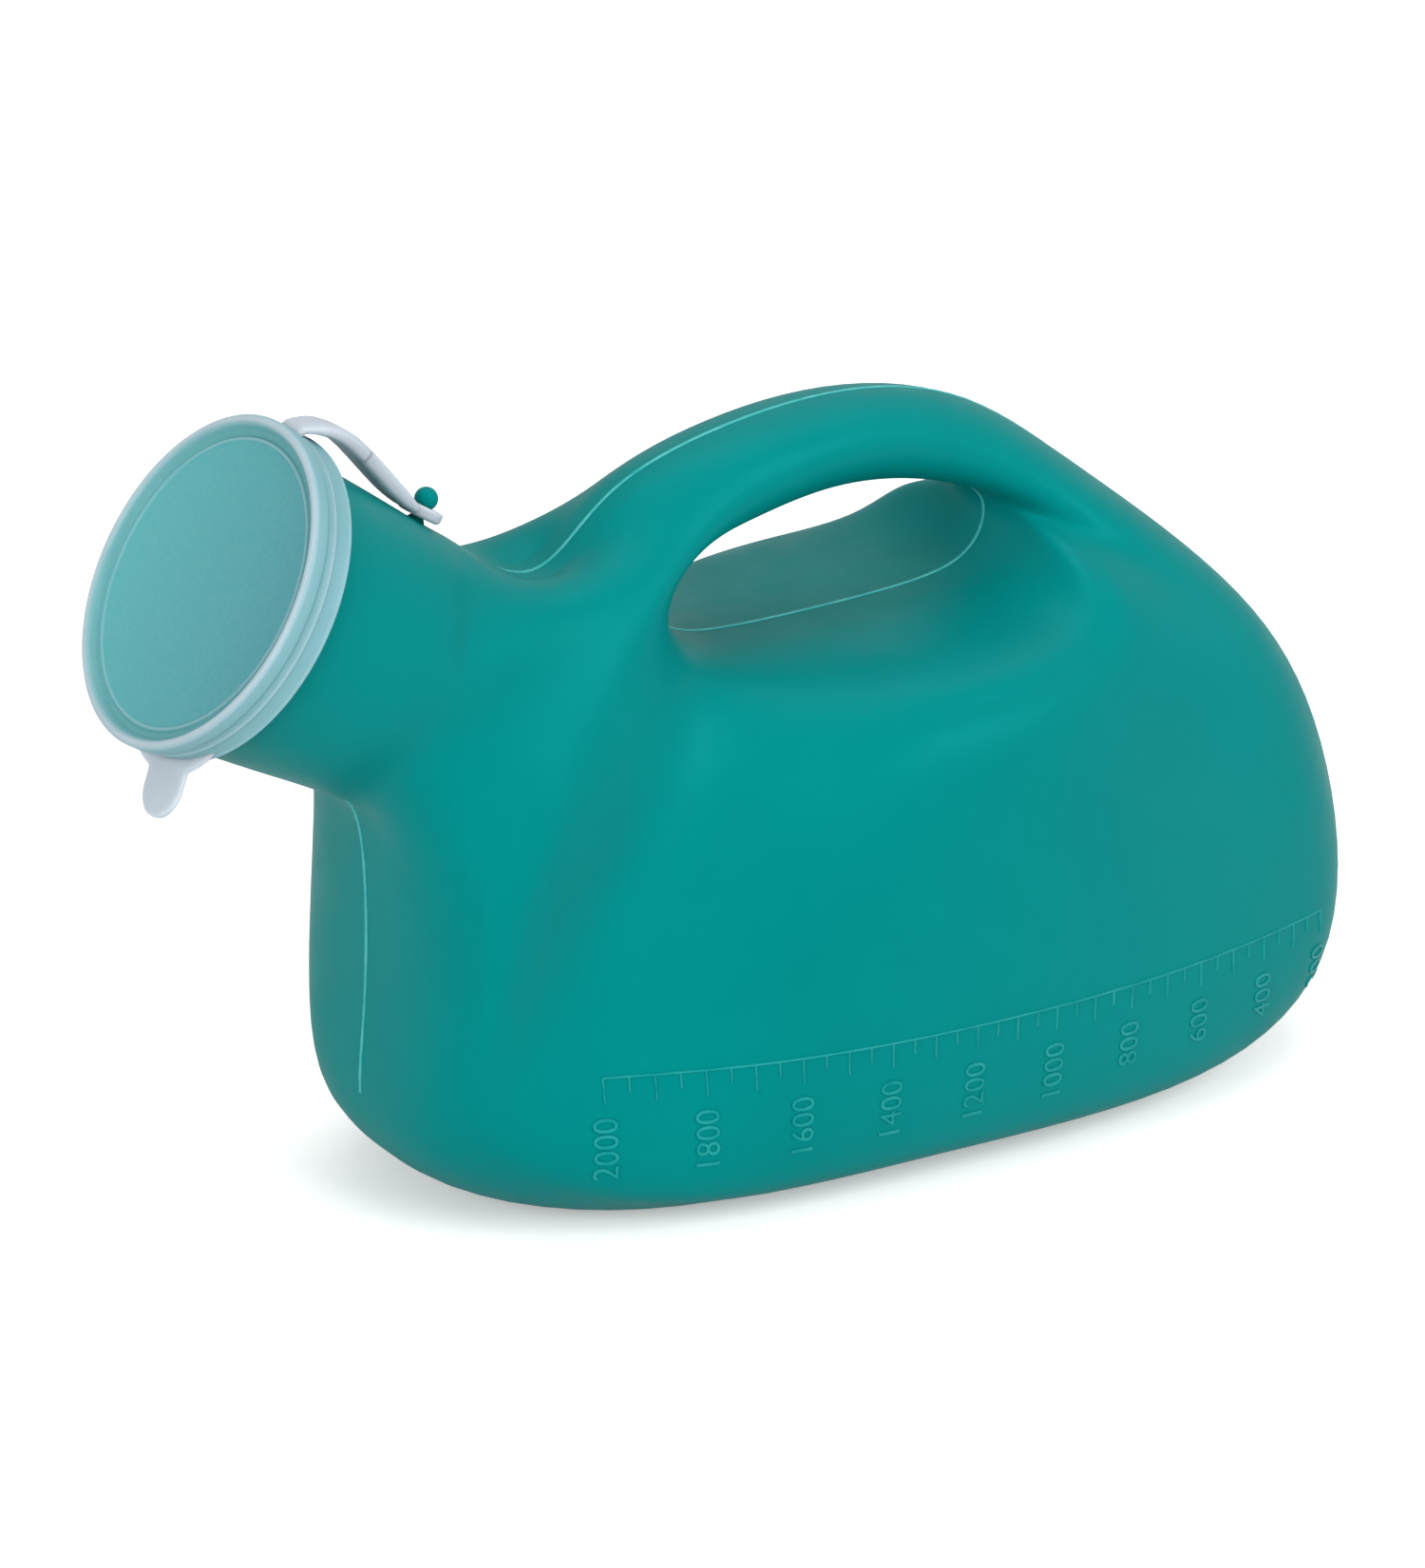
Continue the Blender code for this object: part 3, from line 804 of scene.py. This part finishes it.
def tab_mesh():
    """The pull tab as a thin plate with rounded edges, its root sunk into the skirt."""
    outs = tab_rows()
    points, faces = [], []
    for side in (1.0, -1.0):
        for out in outs:
            half = max(tab_half_width(out), 0.02)
            for k in range(TAB_COLUMNS + 1):
                share = math.sin(math.pi / 2 * (2.0 * k / TAB_COLUMNS - 1.0))
                x = half * share
                rise = TAB_ROOT_RADIUS - math.sqrt(TAB_ROOT_RADIUS**2 - x**2)
                lift = max(0.0, 1.0 - out / SHOULDER_LENGTH)
                y = rise * lift + TAB_ROOT_SINK * lift - out
                edge = (1.0 - abs(share) ** 10) ** 0.5
                tip = 1.0
                to_tip = (TAB_LENGTH - out) / (TAB_THICKNESS * TAB_TIP_ROUNDING)
                if to_tip < 1.0:
                    tip = math.sqrt(max(1.0 - (1.0 - to_tip) ** 2, 0.0))
                z = side * TAB_THICKNESS / 2 * edge * tip
                points.append(Vector((x, y, z)))
    row = TAB_COLUMNS + 1
    layer = row * len(outs)
    for base in (0, layer):
        for i in range(len(outs) - 1):
            for k in range(TAB_COLUMNS):
                low = base + i * row + k
                faces.append((low, low + 1, low + row + 1, low + row))
    for k in range(TAB_COLUMNS):
        faces.append((k, k + 1, layer + k + 1, layer + k))
        end = (len(outs) - 1) * row + k
        faces.append((end, end + 1, layer + end + 1, layer + end))
    mesh = mesh_of("pull_tab_skin", points, faces)
    origin = ring_point(TAB_DEPTH, TAB_ROOT_RADIUS, TAB_TURN)
    turn = Matrix.Rotation(TAB_TURN, 4, "Z") @ Matrix.Rotation(TAB_LEAN, 4, "X")
    mesh.transform(cap_frame(origin) @ turn)
    return mesh


def stud_profile():
    """The stud from the top of its ball down to its foot, which is sunk into the neck."""
    waist_height = STUD_BALL_HEIGHT - math.sqrt(STUD_BALL_RADIUS**2 - STUD_NECK_RADIUS**2)
    waist_angle = math.asin(STUD_NECK_RADIUS / STUD_BALL_RADIUS)
    profile = []
    for k in range(STUD_BALL_STEPS):
        angle = (math.pi - waist_angle) * k / STUD_BALL_STEPS
        height = STUD_BALL_HEIGHT + STUD_BALL_RADIUS * math.cos(angle)
        profile.append((STUD_BALL_RADIUS * math.sin(angle), height))
    profile.append((STUD_NECK_RADIUS, waist_height))
    profile.append((STUD_NECK_RADIUS, 29.2))
    profile.append((STUD_NECK_RADIUS + 0.5, 28.5))
    profile.append((STUD_NECK_RADIUS + 0.9, STUD_FOOT_HEIGHT))
    profile.append((0.0, STUD_FOOT_HEIGHT))
    return profile


# ---------------------------------------------------------------- materials


def noise(tree, coordinates, scale, detail=3.0, roughness=0.55):
    node = tree.nodes.new("ShaderNodeTexNoise")
    node.inputs["Scale"].default_value = scale
    node.inputs["Detail"].default_value = detail
    node.inputs["Roughness"].default_value = roughness
    tree.links.new(coordinates, node.inputs["Vector"])
    return node.outputs["Fac"]


def spread(tree, value, low, high, from_low=0.3, from_high=0.7):
    node = tree.nodes.new("ShaderNodeMapRange")
    node.inputs["From Min"].default_value = from_low
    node.inputs["From Max"].default_value = from_high
    node.inputs["To Min"].default_value = low
    node.inputs["To Max"].default_value = high
    tree.links.new(value, node.inputs["Value"])
    return node.outputs["Result"]


def blended_color(tree, value, low, high):
    node = tree.nodes.new("ShaderNodeMix")
    node.data_type = "RGBA"
    for name, color in (("A", low), ("B", high)):
        if isinstance(color, tuple):
            node.inputs[name].default_value = (*color, 1.0)
        else:
            tree.links.new(color, node.inputs[name])
    tree.links.new(value, node.inputs["Factor"])
    return node.outputs["Result"]


def bump(tree, height, strength, distance, under=None):
    node = tree.nodes.new("ShaderNodeBump")
    node.inputs["Strength"].default_value = strength
    node.inputs["Distance"].default_value = distance
    tree.links.new(height, node.inputs["Height"])
    if under is not None:
        tree.links.new(under, node.inputs["Normal"])
    return node.outputs["Normal"]


def new_material(name):
    material = bpy.data.materials.new(name)
    material.use_nodes = True
    tree = material.node_tree
    coordinates = tree.nodes.new("ShaderNodeTexCoord").outputs["Object"]
    return material, tree, tree.nodes["Principled BSDF"], coordinates


def teal_plastic():
    """Satin blow-moulded polyethylene: it takes in a little light, and its skin is uneven."""
    material, tree, shader, coordinates = new_material("teal_plastic")
    cloudy = noise(tree, coordinates, 18.0, 4.0)
    color = blended_color(tree, spread(tree, cloudy, 0.0, 1.0), TEAL_DARK, TEAL_LIGHT)
    tree.links.new(color, shader.inputs["Base Color"])
    rough = spread(tree, noise(tree, coordinates, 90.0, 5.0), 0.36, 0.46)
    tree.links.new(rough, shader.inputs["Roughness"])
    shader.inputs["IOR"].default_value = 1.5
    shader.inputs["Specular IOR Level"].default_value = 0.13
    shader.inputs["Specular Tint"].default_value = TEAL_SHEEN
    shader.inputs["Subsurface Weight"].default_value = 0.25
    shader.inputs["Subsurface Radius"].default_value = (0.15, 1.0, 0.9)
    shader.inputs["Subsurface Scale"].default_value = 0.0025
    grain = noise(tree, coordinates, 1400.0, 2.0)
    sink = noise(tree, coordinates, 45.0, 2.0)
    normal = bump(tree, sink, 0.12, 0.0006)
    normal = bump(tree, grain, 0.10, 0.00006, normal)
    tree.links.new(normal, shader.inputs["Normal"])
    return material


def relief_plastic(name, dark, light):
    """The same plastic, coloured paler than the body where it stands proud, in mottled patches."""
    material, tree, shader, coordinates = new_material(name)
    # Patchy noise that varies the paler colour, the roughness and the bump.
    mottle = noise(tree, coordinates, 220.0, 3.0)
    color = blended_color(tree, spread(tree, mottle, 0.0, 1.0), dark, light)
    tree.links.new(color, shader.inputs["Base Color"])
    tree.links.new(spread(tree, mottle, 0.34, 0.5), shader.inputs["Roughness"])
    shader.inputs["Specular Tint"].default_value = TEAL_SHEEN
    tree.links.new(bump(tree, mottle, 0.1, 0.00005), shader.inputs["Normal"])
    return material


def milky_surface(tree, shader, coordinates, color, glow):
    """What every milky piece shares: a cloudy, waxy, slightly uneven polyethylene."""
    tree.links.new(color, shader.inputs["Base Color"])
    rough = spread(tree, noise(tree, coordinates, 160.0, 4.0), 0.36, 0.48)
    tree.links.new(rough, shader.inputs["Roughness"])
    shader.inputs["IOR"].default_value = 1.45
    shader.inputs["Specular IOR Level"].default_value = 0.3
    shader.inputs["Transmission Weight"].default_value = 0.15
    shader.inputs["Subsurface Weight"].default_value = glow
    shader.inputs["Subsurface Radius"].default_value = (0.95, 1.0, 1.0)
    shader.inputs["Subsurface Scale"].default_value = 0.001 + 0.004 * (glow - 0.3)
    grain = noise(tree, coordinates, 1800.0, 2.0)
    normal = bump(tree, grain, 0.08, 0.00005)
    tree.links.new(normal, shader.inputs["Normal"])


def milky_plastic():
    """Soft natural polyethylene, cloudy and a little blue."""
    material, tree, shader, coordinates = new_material("milky_plastic")
    cloudy = noise(tree, coordinates, 60.0, 4.0)
    color = blended_color(tree, spread(tree, cloudy, 0.0, 1.0), MILKY_DARK, MILKY_LIGHT)
    milky_surface(tree, shader, coordinates, color, 0.95)
    return material


def lid_plastic_painted_light():
    """The same polyethylene in the lid, whose thin parts show painted light: the teal behind them
    is painted into the colour, brighter on the far side.
    """
    material, tree, shader, coordinates = new_material("milky_lid_painted_light")
    split = tree.nodes.new("ShaderNodeSeparateXYZ")
    tree.links.new(coordinates, split.inputs["Vector"])
    radius = distance_from_axis(tree, split)
    cloudy = noise(tree, coordinates, 60.0, 4.0)
    thick = blended_color(tree, spread(tree, cloudy, 0.0, 1.0), MILKY_DARK, MILKY_LIGHT)
    across = spread(tree, split.outputs["X"], 0.0, 1.0, -0.028, 0.028)
    # Painted light: the see-through teal, painted brighter on the far side than on the near.
    disc_painted_light = blended_color(tree, across, DISC_FAR_PAINTED_LIGHT, DISC_NEAR_PAINTED_LIGHT)
    grain = spread(tree, noise(tree, coordinates, 900.0, 3.0), 0.0, 0.06)
    disc_painted_light = blended_color(tree, grain, disc_painted_light, MILKY_LIGHT)
    face_painted_light_bands = color_ramp(tree, spread(tree, radius, 0.0, 1.0, 0.028, 0.035), FACE_PAINTED_LIGHT_BANDS)
    # Painted light: the lid's face runs in rings from the painted see-through teal to milky.
    face = blended_color(tree, face_painted_light_bands, disc_painted_light, thick)
    down = spread(tree, split.outputs["Z"], 0.0, 1.0, -0.0095, 0.0)
    skirt_painted_light_bands = color_ramp(tree, down, SKIRT_PAINTED_LIGHT_BANDS)
    # Painted light: the skirt runs in bands from the painted see-through teal to milky.
    skirt = blended_color(tree, skirt_painted_light_bands, PAINTED_TEAL_BEHIND_SKIRT, thick)
    outside = spread(tree, radius, 0.0, 1.0, 0.0334, 0.0336)
    color = blended_color(tree, outside, face, skirt)
    milky_surface(tree, shader, coordinates, color, 0.3)
    return material


def distance_from_axis(tree, split):
    """Distance from the local Z axis."""
    combine = tree.nodes.new("ShaderNodeCombineXYZ")
    tree.links.new(split.outputs["X"], combine.inputs["X"])
    tree.links.new(split.outputs["Y"], combine.inputs["Y"])
    length = tree.nodes.new("ShaderNodeVectorMath")
    length.operation = "LENGTH"
    tree.links.new(combine.outputs["Vector"], length.inputs[0])
    return length.outputs["Value"]


def color_ramp(tree, value, stops):
    """A ramp of grey levels from (place, level) stops."""
    node = tree.nodes.new("ShaderNodeValToRGB")
    ramp = node.color_ramp
    while len(ramp.elements) < len(stops):
        ramp.elements.new(0.5)
    for element, (place, level) in zip(ramp.elements, stops):
        element.position = place
        element.color = (level, level, level, 1.0)
    tree.links.new(value, node.inputs["Fac"])
    return node.outputs["Color"]


def floor_material():
    """A floor that the camera sees as white, and that lights the object as a pale grey one."""
    material, tree, shown, coordinates = new_material("studio_floor")
    soft = spread(tree, noise(tree, coordinates, 3.0, 2.0), 0.0, 1.0)
    color = blended_color(tree, soft, FLOOR_DARK, FLOOR_LIGHT)
    tree.links.new(color, shown.inputs["Base Color"])
    shown.inputs["Roughness"].default_value = 0.9
    shown.inputs["Emission Color"].default_value = (1.0, 1.0, 1.0, 1.0)
    shown.inputs["Emission Strength"].default_value = FLOOR_GLOW
    dim = tree.nodes.new("ShaderNodeBsdfDiffuse")
    dim.inputs["Color"].default_value = FLOOR_BOUNCE
    path = tree.nodes.new("ShaderNodeLightPath")
    mix = tree.nodes.new("ShaderNodeMixShader")
    tree.links.new(path.outputs["Is Camera Ray"], mix.inputs[0])
    tree.links.new(dim.outputs[0], mix.inputs[1])
    tree.links.new(shown.outputs[0], mix.inputs[2])
    tree.links.new(mix.outputs[0], tree.nodes["Material Output"].inputs["Surface"])
    return material


# ---------------------------------------------------------------- camera, light, floor


def make_camera():
    turn, rise, roll = CAMERA_TURN, CAMERA_RISE, CAMERA_ROLL
    right = Vector((math.cos(turn), -math.sin(turn), 0.0))
    level = math.cos(rise)
    back = Vector((-math.sin(turn) * level, -math.cos(turn) * level, math.sin(rise)))
    up = back.cross(right)
    across = right * math.cos(roll) + up * math.sin(roll)
    upward = up * math.cos(roll) - right * math.sin(roll)
    place = Vector(CAMERA_TARGET) + back * CAMERA_DISTANCE
    place -= across * CAMERA_SHIFT[0] + upward * CAMERA_SHIFT[1]
    data = bpy.data.cameras.new("camera")
    data.sensor_width = SENSOR
    data.lens = data.sensor_width * FOCAL_WIDTHS * PICTURE[0] / PICTURE[1]
    data.clip_start = 0.05
    data.clip_end = 50.0
    camera = bpy.data.objects.new("camera", data)
    SCENE.objects.link(camera)
    turn_matrix = Matrix((across, upward, back)).transposed().to_4x4()
    camera.matrix_world = Matrix.Translation(place * MM) @ turn_matrix
    bpy.context.scene.camera = camera


def area_light(name, place, size, power):
    data = bpy.data.lights.new(name, "AREA")
    data.shape = "DISK"
    data.size = size
    data.energy = power
    light = bpy.data.objects.new(name, data)
    SCENE.objects.link(light)
    light.location = place
    direction = Vector(LIGHT_TARGET) - Vector(place)
    light.rotation_euler = direction.to_track_quat("-Z", "Y").to_euler()


def make_studio():
    world = bpy.data.worlds.new("studio")
    bpy.context.scene.world = world
    world.use_nodes = True
    background = world.node_tree.nodes["Background"]
    background.inputs["Color"].default_value = (1.0, 1.0, 1.0, 1.0)
    background.inputs["Strength"].default_value = WORLD_STRENGTH
    for light in LIGHTS:
        area_light(*light)
    bpy.ops.mesh.primitive_plane_add(size=FLOOR_SIZE, location=(0.0, 0.0, -FLOOR_SINK))
    floor = bpy.context.object
    floor.name = "studio_floor"
    floor.data.materials.append(floor_material())
    view = bpy.context.scene.view_settings
    view.view_transform = "Standard"
    view.look = "None"


# ---------------------------------------------------------------- the object


def make_object():
    teal = teal_plastic()
    line_teal = relief_plastic("teal_parting_line", LINE_DARK, LINE_LIGHT)
    scale_teal = relief_plastic("teal_scale", SCALE_DARK, SCALE_LIGHT)
    milky = milky_plastic()

    skin = bottle_skin()
    shell = piece("bottle_shell", walled(skin), teal, 60.0)
    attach(shell, "bottle")
    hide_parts("bottle_body")
    reliefs = (
        ("parting_line", parting_line(skin), line_teal),
        ("scale_marks", scale_marks(skin), scale_teal),
    )
    for name, mesh, material in reliefs:
        relief = piece(name, mesh, material, 30.0)
        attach(relief, "bottle")
    stud_mesh = turned("tether_stud", stud_profile(), 48)
    stud_mesh.transform(neck_frame(at_neck(STUD_DEPTH, 0.0)))
    stud = piece("tether_stud", stud_mesh, teal, 60.0)
    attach(stud, "bottle")

    lid_mesh = turned("lid_shell", rounded(LID_PROFILE, LID_ROUNDING), 192)
    lid = piece("lid_shell", lid_mesh, lid_plastic_painted_light(), 60.0)
    lid.matrix_world = cap_frame(at_neck(0.0, 0.0))
    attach(lid, "lid")
    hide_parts("cap_lid")

    front, rear = strap_halves()
    strap_front = piece("tether_front", front, milky)
    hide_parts("tether_root", "tether_strap")
    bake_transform(strap_front)

    strap_rear = piece("tether_rear", united(rear, eyelet_ring(), "tether_rear"), milky)
    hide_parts("tether_eyelet")
    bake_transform(strap_rear)

    tab = piece("pull_tab_skin", tab_mesh(), milky)
    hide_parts("pull_tab")
    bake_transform(tab)


make_camera()
make_studio()
make_object()
